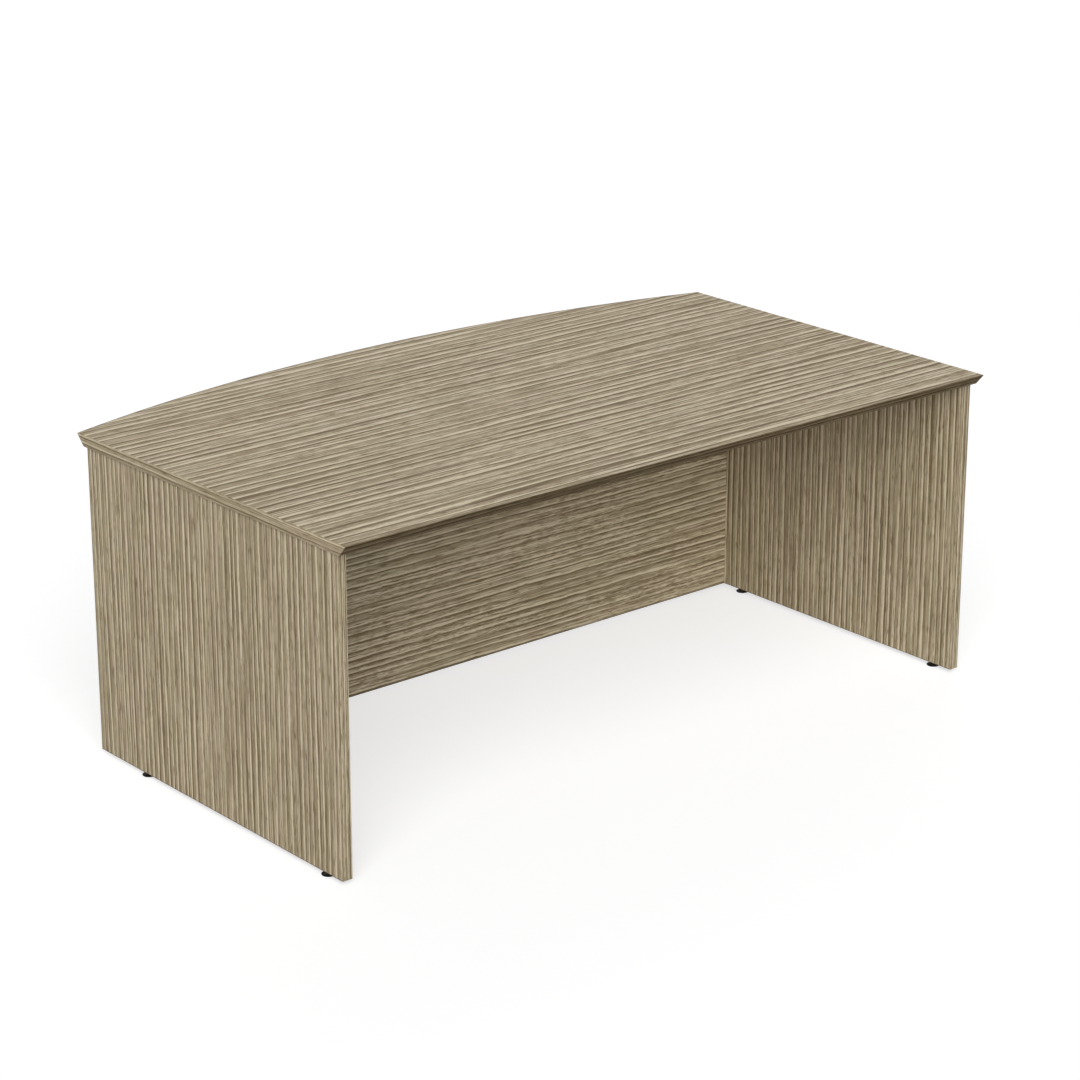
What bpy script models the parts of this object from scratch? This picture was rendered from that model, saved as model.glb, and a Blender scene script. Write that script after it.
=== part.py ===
"""A bow-top desk: a worktop with a straight user edge and a bowed visitor edge, on two end panels
that a full-height modesty panel ties together. It stands on four levelling feet.

The frame has +X along the width, +Y from the user towards the visitor and +Z up. Its origin is on
the floor, under the middle of the worktop's own box. All lengths are in metres.
"""
import math

import bmesh
import bpy
from mathutils import Matrix, Vector

for leftover in list(bpy.data.objects):
    bpy.data.objects.remove(leftover, do_unlink=True)

# Overall sizes
DESK_WIDTH = 1.800
SIDE_DEPTH = 0.950
BOW_RISE = 0.130
DESK_HEIGHT = 0.730

# Boards, and how far they stand in from the worktop's edges
BOARD_THICK = 0.025
MODESTY_THICK = 0.018
BEVEL_INSET = 0.022
SIDE_OVERHANG = 0.0035
FRONT_OVERHANG = 0.036
REAR_OVERHANG = 0.032
MODESTY_RECESS = 0.096

# Edge bands: the ones that a hand meets, and the thin ones along the bottom edges
BAND_THICK = 0.002
THIN_BAND = 0.001
ARRIS = 0.0006
BOW_STEPS = 48

# Fits
GAP = 0.0003
CUT_OVERRUN = 0.002
MERGE_DISTANCE = 0.000001

# Cam fittings: a cam in a board's face draws in the bolt that comes through the board's edge
CAM_RADIUS = 0.0075
CAM_SETBACK = 0.034
CAM_BELOW_BOLT = 0.0045
CAM_SUNK = 0.0005
CAM_HOLLOW_PAST_BOLT = 0.0008
DRIVE_RADIUS = 0.0026
DRIVE_DEPTH = 0.003
BOLT_HEAD_RADIUS = 0.0032
BOLT_HEAD_LENGTH = 0.005
BOLT_NECK_RADIUS = 0.0022
BOLT_NECK_LENGTH = 0.005
BOLT_SHANK_RADIUS = 0.0034
BOLT_THREAD_RADIUS = 0.0025
BOLT_IN_FACE = 0.011
CAP_RADIUS = 0.0088
CAP_THICK = 0.0012
CAP_STEM_RADIUS = 0.0018
CAP_STEM_LENGTH = 0.0022

# Wooden dowels
DOWEL_RADIUS = 0.004
DOWEL_LENGTH = 0.035
DOWEL_IN_FACE = 0.012
DOWEL_CHAMFER = 0.001

# Levelling feet: a flared pad that holds the flange of a threaded stud, which turns in an insert
FOOT_HEIGHT = 0.010
FOOT_TRAVEL = 0.015
FOOT_FRONT_SETBACK = 0.065
FOOT_REAR_SETBACK = 0.167
PAD_RADIUS = 0.015
PAD_LIP = 0.0012
PAD_RIM = 0.0008
PAD_NECK_RADIUS = 0.0082
PAD_NECK_HEIGHT = 0.0018
PAD_FLOOR = 0.0022
FLANGE_RADIUS = 0.0062
FLANGE_THICK = 0.0022
STUD_RADIUS = 0.004
STUD_HELD_AT_FULL_TRAVEL = 0.009
STUD_TIP_CHAMFER = 0.001
INSERT_WALL = 0.0022
INSERT_LENGTH = 0.015

# Places along a board, as shares of the stretch that they lie on
PANEL_DOWEL_SHARES = (0.10, 0.44, 0.78)
PANEL_TOP_CAM_SHARE = 0.50
MODESTY_END_CAM_SHARES = (0.17, 0.83)
MODESTY_END_DOWEL_SHARES = (0.50,)
MODESTY_TOP_CAM_SHARES = (0.25, 0.75)

# Sides of round pieces, steps of small roundings, and the angles past which an edge stays sharp
SMALL_ROUND = 12
CAM_ROUND = 20
PAD_ROUND = 24
HEX_SIDES = 6
LIP_STEPS = 2
FLARE_STEPS = 4
ROUND_SHARP_DEG = 35
BOW_SHARP_DEG = 15

# How far past each end the bow band is spun before the end is cut
BOW_OVERSPIN_DEG = 0.05

# Levels and places that the sizes above give
HALF_WIDTH = DESK_WIDTH / 2
FRONT_Y = -(SIDE_DEPTH + BOW_RISE) / 2
CORNER_Y = FRONT_Y + SIDE_DEPTH
BOW_RADIUS = (BOW_RISE ** 2 + HALF_WIDTH ** 2) / (2 * BOW_RISE)
BOW_CENTRE_Y = CORNER_Y + BOW_RISE - BOW_RADIUS
UNDER_Z = DESK_HEIGHT - BOARD_THICK
PANEL_TOP_Z = UNDER_Z - GAP
PANEL_FRONT_Y = FRONT_Y + FRONT_OVERHANG
PANEL_REAR_Y = CORNER_Y - REAR_OVERHANG
PANEL_OUTER_X = HALF_WIDTH - SIDE_OVERHANG
PANEL_INNER_X = PANEL_OUTER_X - BOARD_THICK
PANEL_MID_X = PANEL_OUTER_X - BOARD_THICK / 2
MODESTY_REAR_Y = PANEL_REAR_Y - MODESTY_RECESS
MODESTY_FRONT_Y = MODESTY_REAR_Y - MODESTY_THICK
MODESTY_MID_Y = MODESTY_REAR_Y - MODESTY_THICK / 2
MODESTY_HALF = PANEL_INNER_X - GAP
FOOT_FRONT_Y = PANEL_FRONT_Y + FOOT_FRONT_SETBACK
FOOT_REAR_Y = PANEL_REAR_Y - FOOT_REAR_SETBACK

# A band's thickness is measured square to the bevel, and this is its width across the top
BEVEL_SLOPE = math.hypot(BEVEL_INSET, BOARD_THICK) / BOARD_THICK
BAND_ACROSS = BAND_THICK * BEVEL_SLOPE
GAP_ACROSS = GAP * BEVEL_SLOPE

X_AXIS = Vector((1, 0, 0))
Y_AXIS = Vector((0, 1, 0))
Z_AXIS = Vector((0, 0, 1))


def make_material(name, colour, roughness, metallic=0.0):
    material = bpy.data.materials.new(name)
    material.use_nodes = True
    shader = material.node_tree.nodes["Principled BSDF"]
    shader.inputs["Base Color"].default_value = (*colour, 1.0)
    shader.inputs["Roughness"].default_value = roughness
    shader.inputs["Metallic"].default_value = metallic
    material.diffuse_color = (*colour, 1.0)
    return material


LAMINATE = ("laminate", (0.34, 0.29, 0.21), 0.5)
BAND_FINISH = ("edge_band", (0.31, 0.26, 0.18), 0.5)
ZINC = ("zinc", (0.62, 0.62, 0.64), 0.35, 1.0)
STEEL = ("plated_steel", (0.55, 0.55, 0.56), 0.3, 1.0)
BEECH = ("beech", (0.55, 0.38, 0.22), 0.7)
NYLON = ("black_nylon", (0.012, 0.012, 0.012), 0.45)
CAP_PLASTIC = ("cap_plastic", (0.30, 0.25, 0.18), 0.5)


def finish_object(name, bm, look):
    """Writes a bmesh to an object of its own, with outward faces and a material of its own."""
    bmesh.ops.remove_doubles(bm, verts=bm.verts, dist=MERGE_DISTANCE)
    bmesh.ops.recalc_face_normals(bm, faces=bm.faces)
    mesh = bpy.data.meshes.new(name)
    bm.to_mesh(mesh)
    bm.free()
    piece = bpy.data.objects.new(name, mesh)
    bpy.context.scene.collection.objects.link(piece)
    if look:
        mesh.materials.append(make_material(name + "_" + look[0], *look[1:]))
    return piece


def between(low, high, share):
    return low + (high - low) * share


def square_to(direction):
    """An axis square to a direction that lies along X, Y or Z."""
    return Y_AXIS if abs(direction.x) > abs(direction.y) + abs(direction.z) else X_AXIS


def frame_matrix(origin, along_x, along_z):
    """A matrix whose local X and Z axes lie along the two given directions."""
    x = Vector(along_x).normalized()
    z = Vector(along_z).normalized()
    turn = Matrix((x, z.cross(x), z)).transposed().to_4x4()
    return Matrix.Translation(Vector(origin)) @ turn


def block_mesh(low, high):
    bm = bmesh.new()
    bmesh.ops.create_cube(bm, size=1.0)
    low, high = Vector(low), Vector(high)
    bmesh.ops.scale(bm, vec=high - low, verts=bm.verts)
    bmesh.ops.translate(bm, vec=(low + high) / 2, verts=bm.verts)
    return bm


def soften(bm, edges):
    """Takes the sharpness off the given edges, as a band's trimmed arris has it."""
    bmesh.ops.bevel(bm, geom=edges, offset=ARRIS, segments=2, profile=0.5, affect="EDGES",
                    clamp_overlap=True)


def long_edges(bm, along, is_open_side):
    """The edges that lie along one axis with both corners on the band's open side."""
    chosen = []
    for edge in bm.edges:
        run = edge.verts[1].co - edge.verts[0].co
        lies_along = abs(run.dot(along)) > run.length - MERGE_DISTANCE
        if lies_along and all(is_open_side(vert.co) for vert in edge.verts):
            chosen.append(edge)
    return chosen


def turned_mesh(profile, sides):
    """Spins a profile of (radius, height) points about Z. The profile starts and ends on the axis."""
    bm = bmesh.new()
    points = [bm.verts.new((radius, 0, height)) for radius, height in profile]
    edges = [bm.edges.new(pair) for pair in zip(points, points[1:])]
    bmesh.ops.spin(bm, geom=points + edges, cent=(0, 0, 0), axis=(0, 0, 1),
                   angle=2 * math.pi, steps=sides, use_merge=True)
    return bm


def rod_profile(radius, bottom, top):
    return [(0, bottom), (radius, bottom), (radius, top), (0, top)]


def quarter_arc(start, end, steps):
    """The points after start, up to end, of a quarter of an ellipse between two (radius, height)
    points. The curve sets off along the radius and arrives along the height."""
    turns = [math.pi / 2 * step / steps for step in range(1, steps + 1)]
    return [(between(start[0], end[0], math.sin(turn)),
             between(start[1], end[1], 1 - math.cos(turn))) for turn in turns]


def turned_piece(name, profile, sides, look, matrix):
    piece = finish_object(name, turned_mesh(profile, sides), look)
    piece.data.shade_smooth()
    piece.data.set_sharp_from_angle(angle=math.radians(ROUND_SHARP_DEG))
    piece.matrix_world = matrix
    return piece


def cut(piece, cutter):
    """Takes the cutter out of the piece for good, and removes the cutter."""
    cutter.hide_render = True
    cutter.display_type = "WIRE"
    boolean = piece.modifiers.new("cut", "BOOLEAN")
    boolean.operation = "DIFFERENCE"
    boolean.solver = "EXACT"
    boolean.object = cutter
    bpy.context.view_layer.update()
    depsgraph = bpy.context.evaluated_depsgraph_get()
    result = bpy.data.meshes.new_from_object(piece.evaluated_get(depsgraph))
    piece.modifiers.remove(boolean)
    old = piece.data
    piece.data = result
    bpy.data.meshes.remove(old)
    bpy.data.objects.remove(cutter, do_unlink=True)


def drill(piece, origin, into, radius, depth, sides=SMALL_ROUND):
    """Drills a blind hole that starts at origin, on the piece's face, and goes in along into."""
    into = Vector(into)
    profile = rod_profile(radius, -CUT_OVERRUN, depth)
    cutter = finish_object("cutter", turned_mesh(profile, sides), None)
    cutter.matrix_world = frame_matrix(origin, square_to(into), into)
    cut(piece, cutter)


def bow_points(half_width, inset):
    """Points along the bow from +X to -X, with the arc drawn in by inset."""
    radius = BOW_RADIUS - inset
    reach = math.asin(half_width / radius)
    angles = [reach - 2 * reach * step / BOW_STEPS for step in range(BOW_STEPS + 1)]
    return [(radius * math.sin(a), BOW_CENTRE_Y + radius * math.cos(a)) for a in angles]


def worktop_outline(half_width, inset):
    """The worktop's plan at one level, drawn in by inset along the front and the bow."""
    front = FRONT_Y + inset
    return [(-half_width, front), (half_width, front)] + bow_points(half_width, inset)


def slab_mesh(top_outline, under_outline, top_z, under_z):
    """Extrudes a plan downwards and moves each lower corner to its place in the lower plan."""
    bm = bmesh.new()
    top = bm.faces.new([bm.verts.new((x, y, top_z)) for x, y in top_outline])
    made = bmesh.ops.extrude_face_region(bm, geom=[top], use_keep_orig=True)
    lower = [item for item in made["geom"] if isinstance(item, bmesh.types.BMVert)]
    for vert in lower:
        above = min(range(len(top_outline)), key=lambda at: math.dist(top_outline[at], vert.co.xy))
        vert.co = (*under_outline[above], under_z)
    return bm


def bow_band_mesh(half_width):
    """The bow band: its section, with the two outer corners rounded, is spun about the bow's centre
    from a little past one end to a little past the other, then both ends are cut square."""
    under_radius = BOW_RADIUS - BEVEL_INSET
    outer = [(BOW_RADIUS, DESK_HEIGHT), (under_radius, UNDER_Z)]
    inner = [(under_radius - BAND_ACROSS, UNDER_Z), (BOW_RADIUS - BAND_ACROSS, DESK_HEIGHT)]
    bm = bmesh.new()
    section = [bm.verts.new((0, BOW_CENTRE_Y + radius, z)) for radius, z in outer + inner]
    bm.faces.new(section)
    bmesh.ops.bevel(bm, geom=section[:len(outer)], offset=ARRIS, segments=2, profile=0.5,
                    affect="VERTICES")

    centre = (0, BOW_CENTRE_Y, 0)
    reach = math.asin(half_width / (under_radius - BAND_ACROSS)) + math.radians(BOW_OVERSPIN_DEG)
    bmesh.ops.rotate(bm, cent=centre, matrix=Matrix.Rotation(-reach, 3, Z_AXIS), verts=bm.verts)
    bmesh.ops.spin(bm, geom=bm.verts[:] + bm.edges[:] + bm.faces[:], cent=centre, axis=Z_AXIS,
                   angle=2 * reach, steps=BOW_STEPS)
    for end in (-half_width, half_width):
        trimmed = bmesh.ops.bisect_plane(bm, geom=bm.verts[:] + bm.edges[:] + bm.faces[:],
                                         plane_co=(end, 0, 0), plane_no=(end, 0, 0),
                                         clear_outer=True)
        rim = [item for item in trimmed["geom_cut"] if isinstance(item, bmesh.types.BMEdge)]
        bmesh.ops.holes_fill(bm, edges=rim, sides=0)
    return bm


def build_worktop():
    board_half = HALF_WIDTH - BAND_THICK - GAP
    core_inset = BAND_ACROSS + GAP_ACROSS
    core = slab_mesh(worktop_outline(board_half, core_inset),
                     worktop_outline(board_half, core_inset + BEVEL_INSET), DESK_HEIGHT, UNDER_Z)
    board = finish_object("worktop_board", core, LAMINATE)

    bow_band = finish_object("worktop_band_rear", bow_band_mesh(board_half), BAND_FINISH)
    bow_band.data.shade_smooth()
    bow_band.data.set_sharp_from_angle(angle=math.radians(BOW_SHARP_DEG))

    front_top = [(-board_half, FRONT_Y), (board_half, FRONT_Y),
                 (board_half, FRONT_Y + BAND_ACROSS), (-board_half, FRONT_Y + BAND_ACROSS)]
    front_under = [(x, y + BEVEL_INSET) for x, y in front_top]
    front = slab_mesh(front_top, front_under, DESK_HEIGHT, UNDER_Z)
    soften(front, long_edges(front, X_AXIS, is_outer_front))
    finish_object("worktop_band_front", front, BAND_FINISH)

    for name, side in (("left", -1), ("right", 1)):
        strip = side_band_mesh(side, board_half + GAP)
        finish_object("worktop_band_" + name, strip, BAND_FINISH)
    return board


def is_outer_front(corner):
    """Whether a corner of the front band is on its open, bevelled side."""
    drop_share = (DESK_HEIGHT - corner.z) / BOARD_THICK
    return abs(corner.y - FRONT_Y - BEVEL_INSET * drop_share) < GAP


def side_band_mesh(side, inner_x):
    """A side band's outline follows the worktop's side face and is extruded outwards from it."""
    rear_under_y = bow_points(HALF_WIDTH, BEVEL_INSET)[0][1]
    outline = [(FRONT_Y, DESK_HEIGHT), (CORNER_Y, DESK_HEIGHT),
               (rear_under_y, UNDER_Z), (FRONT_Y + BEVEL_INSET, UNDER_Z)]
    bm = bmesh.new()
    inner = bm.faces.new([bm.verts.new((side * inner_x, y, z)) for y, z in outline])
    made = bmesh.ops.extrude_face_region(bm, geom=[inner], use_keep_orig=True)
    outer = [item for item in made["geom"] if isinstance(item, bmesh.types.BMVert)]
    bmesh.ops.translate(bm, vec=(side * BAND_THICK, 0, 0), verts=outer)
    rim = [edge for edge in bm.edges if all(vert in outer for vert in edge.verts)]
    soften(bm, rim)
    return bm


def build_end_panel(name, side):
    def box(low, high):
        """A block whose X values are given for the right-hand panel."""
        xs = sorted((side * low[0], side * high[0]))
        return block_mesh((xs[0], low[1], low[2]), (xs[1], high[1], high[2]))

    bottom = FOOT_HEIGHT
    core_bottom = bottom + THIN_BAND + GAP
    core_front = PANEL_FRONT_Y + BAND_THICK + GAP
    core_rear = PANEL_REAR_Y - BAND_THICK - GAP
    core = box((PANEL_INNER_X, core_front, core_bottom), (PANEL_OUTER_X, core_rear, PANEL_TOP_Z))
    panel = finish_object("end_panel_" + name, core, LAMINATE)

    bands = {
        "front": (PANEL_FRONT_Y, PANEL_FRONT_Y + BAND_THICK, PANEL_FRONT_Y),
        "rear": (PANEL_REAR_Y - BAND_THICK, PANEL_REAR_Y, PANEL_REAR_Y),
    }
    for place, (low_y, high_y, open_y) in bands.items():
        strip = box((PANEL_INNER_X, low_y, bottom), (PANEL_OUTER_X, high_y, PANEL_TOP_Z))
        soften(strip, long_edges(strip, Z_AXIS, lambda corner: abs(corner.y - open_y) < GAP))
        finish_object("end_panel_" + name + "_band_" + place, strip, BAND_FINISH)

    strip = box((PANEL_INNER_X, core_front, bottom), (PANEL_OUTER_X, core_rear, bottom + THIN_BAND))
    bottom_band = finish_object("end_panel_" + name + "_band_bottom", strip, BAND_FINISH)
    return panel, bottom_band


def build_modesty():
    bottom = FOOT_HEIGHT
    core = block_mesh((-MODESTY_HALF, MODESTY_FRONT_Y, bottom + THIN_BAND + GAP),
                      (MODESTY_HALF, MODESTY_REAR_Y, PANEL_TOP_Z))
    panel = finish_object("modesty_panel", core, LAMINATE)
    strip = block_mesh((-MODESTY_HALF, MODESTY_FRONT_Y, bottom),
                       (MODESTY_HALF, MODESTY_REAR_Y, bottom + THIN_BAND))
    finish_object("modesty_panel_band_bottom", strip, BAND_FINISH)
    return panel


def fit_cam(name, board, mate, centre, out, towards, thickness):
    """Fits one cam, its bolt and its cap. centre is on the board's face, out is that face's normal,
    and towards points along the bolt to the mating board."""
    out, towards = Vector(out), Vector(towards)
    axis_depth = thickness / 2
    cam_depth = axis_depth + CAM_BELOW_BOLT
    on_axis = Vector(centre) - out * axis_depth
    matrix = frame_matrix(centre, towards, out)

    drill(board, centre, -out, CAM_RADIUS + GAP, cam_depth + GAP, CAM_ROUND)
    edge = on_axis + towards * CAM_SETBACK
    drill(board, edge, -towards, BOLT_SHANK_RADIUS + GAP, CAM_SETBACK)
    mate_face = edge + towards * GAP
    drill(mate, mate_face, towards, BOLT_THREAD_RADIUS + GAP, BOLT_IN_FACE + GAP)

    cam = turned_piece("cam_" + name, rod_profile(CAM_RADIUS, -cam_depth, -CAM_SUNK),
                       CAM_ROUND, ZINC, matrix)
    hollow_end = BOLT_HEAD_LENGTH / 2 + CAM_HOLLOW_PAST_BOLT
    drill(cam, on_axis + towards * CAM_RADIUS, -towards,
          BOLT_HEAD_RADIUS + CAM_HOLLOW_PAST_BOLT, CAM_RADIUS + hollow_end)
    drill(cam, Vector(centre) - out * CAM_SUNK, -out, DRIVE_RADIUS, DRIVE_DEPTH, HEX_SIDES)

    half_head = BOLT_HEAD_LENGTH / 2
    neck_end = half_head + BOLT_NECK_LENGTH
    shank_end = CAM_SETBACK - GAP
    bolt_profile = [
        (0, -half_head),
        (BOLT_NECK_RADIUS, -half_head),
        (BOLT_HEAD_RADIUS, -half_head / 2),
        (BOLT_HEAD_RADIUS, half_head / 2),
        (BOLT_NECK_RADIUS, half_head),
        (BOLT_NECK_RADIUS, neck_end),
        (BOLT_SHANK_RADIUS, neck_end),
        (BOLT_SHANK_RADIUS, shank_end),
        (BOLT_THREAD_RADIUS, shank_end),
        (BOLT_THREAD_RADIUS, CAM_SETBACK + GAP + BOLT_IN_FACE),
        (0, CAM_SETBACK + GAP + BOLT_IN_FACE),
    ]
    turned_piece("bolt_" + name, bolt_profile, SMALL_ROUND, STEEL,
                 frame_matrix(on_axis, out, towards))

    cap_profile = [
        (0, -CAP_STEM_LENGTH),
        (CAP_STEM_RADIUS, -CAP_STEM_LENGTH),
        (CAP_STEM_RADIUS, GAP),
        (CAP_RADIUS, GAP),
        (CAP_RADIUS, GAP + CAP_THICK / 2),
        (CAP_RADIUS - CAP_THICK / 2, GAP + CAP_THICK),
        (0, GAP + CAP_THICK),
    ]
    turned_piece("cap_" + name, cap_profile, CAM_ROUND, CAP_PLASTIC, matrix)


def fit_dowel(name, edge_board, face_board, at_face, into_face):
    """Fits a dowel at a point of the face board's surface. into_face points into that board."""
    into_face = Vector(into_face)
    in_edge = DOWEL_LENGTH - DOWEL_IN_FACE - GAP
    drill(face_board, at_face, into_face, DOWEL_RADIUS + GAP, DOWEL_IN_FACE + GAP)
    edge = Vector(at_face) - into_face * GAP
    drill(edge_board, edge, -into_face, DOWEL_RADIUS + GAP, in_edge + GAP)
    profile = [
        (0, -in_edge - GAP),
        (DOWEL_RADIUS - DOWEL_CHAMFER, -in_edge - GAP),
        (DOWEL_RADIUS, DOWEL_CHAMFER - in_edge - GAP),
        (DOWEL_RADIUS, DOWEL_IN_FACE - DOWEL_CHAMFER),
        (DOWEL_RADIUS - DOWEL_CHAMFER, DOWEL_IN_FACE),
        (0, DOWEL_IN_FACE),
    ]
    turned_piece("dowel_" + name, profile, SMALL_ROUND, BEECH,
                 frame_matrix(at_face, square_to(into_face), into_face))


def fit_foot(name, panel, band, x, y):
    """Fits a foot under a panel's bottom edge: the insert is in the panel, the stud turns in the
    insert, and the pad holds the stud's flange."""
    insert_radius = STUD_RADIUS + GAP + INSERT_WALL
    insert_top = FOOT_HEIGHT + INSERT_LENGTH
    stud_top = FOOT_HEIGHT + FOOT_TRAVEL + STUD_HELD_AT_FULL_TRAVEL
    core_bottom = FOOT_HEIGHT + THIN_BAND + GAP
    drill(band, (x, y, FOOT_HEIGHT), Z_AXIS, insert_radius + GAP, THIN_BAND + CUT_OVERRUN, CAM_ROUND)
    drill(panel, (x, y, core_bottom), Z_AXIS, insert_radius + GAP, insert_top + GAP - core_bottom,
          CAM_ROUND)
    drill(panel, (x, y, insert_top), Z_AXIS, STUD_RADIUS + GAP, stud_top + GAP - insert_top,
          SMALL_ROUND)

    insert = turned_piece("insert_" + name, rod_profile(insert_radius, 0, INSERT_LENGTH),
                          CAM_ROUND, STEEL, Matrix.Translation((x, y, FOOT_HEIGHT)))
    drill(insert, (x, y, FOOT_HEIGHT), Z_AXIS, STUD_RADIUS + GAP, INSERT_LENGTH + CUT_OVERRUN)

    flange_low = PAD_FLOOR + GAP
    flange_top = flange_low + FLANGE_THICK
    stud_profile = [
        (0, flange_low),
        (FLANGE_RADIUS, flange_low),
        (FLANGE_RADIUS, flange_top),
        (STUD_RADIUS, flange_top),
        (STUD_RADIUS, stud_top - STUD_TIP_CHAMFER),
        (STUD_RADIUS - STUD_TIP_CHAMFER, stud_top),
        (0, stud_top),
    ]
    turned_piece("stud_" + name, stud_profile, SMALL_ROUND, STEEL, Matrix.Translation((x, y, 0)))

    pad_top = FOOT_HEIGHT - GAP
    neck_low = pad_top - PAD_NECK_HEIGHT
    rim_top = PAD_LIP + PAD_RIM
    sole, lip, rim = (PAD_RADIUS - PAD_LIP, 0), (PAD_RADIUS, PAD_LIP), (PAD_RADIUS, rim_top)
    pad_profile = [(0, 0), sole, *quarter_arc(sole, lip, LIP_STEPS), rim]
    pad_profile += quarter_arc(rim, (PAD_NECK_RADIUS, neck_low), FLARE_STEPS)
    pad_profile += [
        (PAD_NECK_RADIUS, pad_top),
        (STUD_RADIUS + GAP, pad_top),
        (STUD_RADIUS + GAP, flange_top + GAP),
        (FLANGE_RADIUS + GAP, flange_top + GAP),
        (FLANGE_RADIUS + GAP, PAD_FLOOR),
        (0, PAD_FLOOR),
    ]
    turned_piece("pad_" + name, pad_profile, PAD_ROUND, NYLON, Matrix.Translation((x, y, 0)))


def build_desk():
    worktop = build_worktop()
    modesty = build_modesty()
    sides = {}
    for name, side in (("left", -1), ("right", 1)):
        sides[name] = (side, *build_end_panel(name, side))

    cam_z = PANEL_TOP_Z - CAM_SETBACK
    up = (0, 0, 1)
    for name, (side, panel, bottom_band) in sides.items():
        for number, share in enumerate(PANEL_DOWEL_SHARES, 1):
            y = between(PANEL_FRONT_Y, MODESTY_FRONT_Y, share)
            fit_dowel(f"top_{name}_{number}", panel, worktop, (side * PANEL_MID_X, y, UNDER_Z), up)
        for number, share in enumerate(MODESTY_END_DOWEL_SHARES, 1):
            z = between(FOOT_HEIGHT, PANEL_TOP_Z, share)
            at_face = (side * PANEL_INNER_X, MODESTY_MID_Y, z)
            fit_dowel(f"modesty_{name}_{number}", modesty, panel, at_face, (side, 0, 0))
        y = between(MODESTY_REAR_Y, PANEL_REAR_Y, PANEL_TOP_CAM_SHARE)
        fit_cam(f"top_{name}", panel, worktop, (side * PANEL_INNER_X, y, cam_z), (-side, 0, 0), up,
                BOARD_THICK)
        for place, share in zip(("lower", "upper"), MODESTY_END_CAM_SHARES):
            z = between(FOOT_HEIGHT, PANEL_TOP_Z, share)
            centre = (side * (MODESTY_HALF - CAM_SETBACK), MODESTY_REAR_Y, z)
            fit_cam(f"modesty_{name}_{place}", modesty, panel, centre, (0, 1, 0), (side, 0, 0),
                    MODESTY_THICK)
        for place, y in (("front", FOOT_FRONT_Y), ("rear", FOOT_REAR_Y)):
            fit_foot(f"{name}_{place}", panel, bottom_band, side * PANEL_MID_X, y)

    for name, share in zip(("left", "right"), MODESTY_TOP_CAM_SHARES):
        centre = (between(-MODESTY_HALF, MODESTY_HALF, share), MODESTY_REAR_Y, cam_z)
        fit_cam(f"modesty_top_{name}", modesty, worktop, centre, (0, 1, 0), up, MODESTY_THICK)


build_desk()
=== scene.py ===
# %% [markdown]
# # A bow-top desk in driftwood laminate
# This lesson dresses a desk that is already engineered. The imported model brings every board, band,
# fitting and foot at its real size. The script gives each of them its finish, rebuilds the pieces
# that deserve more shape than a plain solid, and sets up the light and the camera.
# +X runs along the desk's width, +Y from the user towards the visitor, +Z up, in metres.

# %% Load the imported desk
import math

import bmesh
import bpy
from mathutils import Matrix, Vector


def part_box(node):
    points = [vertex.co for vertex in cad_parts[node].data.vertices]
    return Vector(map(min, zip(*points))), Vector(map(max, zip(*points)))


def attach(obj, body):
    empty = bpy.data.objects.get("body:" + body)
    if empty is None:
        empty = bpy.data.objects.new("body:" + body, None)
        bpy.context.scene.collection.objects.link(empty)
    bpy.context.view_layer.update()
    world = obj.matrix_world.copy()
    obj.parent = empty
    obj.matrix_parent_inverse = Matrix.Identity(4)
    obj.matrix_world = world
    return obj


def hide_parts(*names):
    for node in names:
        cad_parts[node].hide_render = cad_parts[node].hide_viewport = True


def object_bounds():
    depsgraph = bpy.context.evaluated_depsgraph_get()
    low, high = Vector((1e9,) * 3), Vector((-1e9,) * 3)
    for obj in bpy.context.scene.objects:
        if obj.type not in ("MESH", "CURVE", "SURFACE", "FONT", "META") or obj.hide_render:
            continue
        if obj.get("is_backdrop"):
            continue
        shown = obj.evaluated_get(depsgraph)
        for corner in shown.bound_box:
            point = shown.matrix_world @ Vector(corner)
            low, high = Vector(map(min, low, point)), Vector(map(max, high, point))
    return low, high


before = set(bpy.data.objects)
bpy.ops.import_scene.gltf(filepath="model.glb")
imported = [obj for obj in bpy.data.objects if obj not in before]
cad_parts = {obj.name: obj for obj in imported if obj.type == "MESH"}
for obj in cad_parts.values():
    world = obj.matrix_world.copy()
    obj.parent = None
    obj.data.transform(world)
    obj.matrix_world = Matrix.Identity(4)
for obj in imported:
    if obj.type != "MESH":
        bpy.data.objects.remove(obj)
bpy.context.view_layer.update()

print("pieces in the packed desk:", len(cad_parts))

# %% [markdown]
# ## Reading sizes from the pieces
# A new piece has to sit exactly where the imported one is. So no place is typed twice: each new
# piece reads the box of the node that it stands for, and only small forms, such as the radius of
# an arris, are given here.

# %% Units and boxes
MM = 0.001
X, Y, Z = Vector((1, 0, 0)), Vector((0, 1, 0)), Vector((0, 0, 1))


def box_middle(node):
    low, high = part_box(node)
    return (low + high) / 2


def box_size(node):
    low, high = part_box(node)
    return high - low


top_low, top_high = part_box("worktop_board")
TOP_THICK = top_high.z - top_low.z
print("worktop thickness in mm:", round(TOP_THICK / MM, 1))

# %% [markdown]
# ## Colours as the eye reads them
# Shader sockets want linear light, while a colour that is picked is in sRGB, from 0 to 255.
# One small helper turns the second into the first.


# %% A helper for colours
def linear(red, green, blue):
    def channel(value):
        value /= 255
        return value / 12.92 if value <= 0.04045 else ((value + 0.055) / 1.055) ** 2.4
    return (channel(red), channel(green), channel(blue), 1.0)


GRAIN_DARK = linear(113, 97, 72)
GRAIN_MIDDLE = linear(159, 145, 118)
GRAIN_CREAM = linear(211, 198, 171)
ROSY_TINT = linear(160.5, 144.5, 119)
OLIVE_TINT = linear(158.5, 145.5, 116.5)
print("middle of the grain, linear:", [round(c, 3) for c in GRAIN_MIDDLE[:3]])


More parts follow.
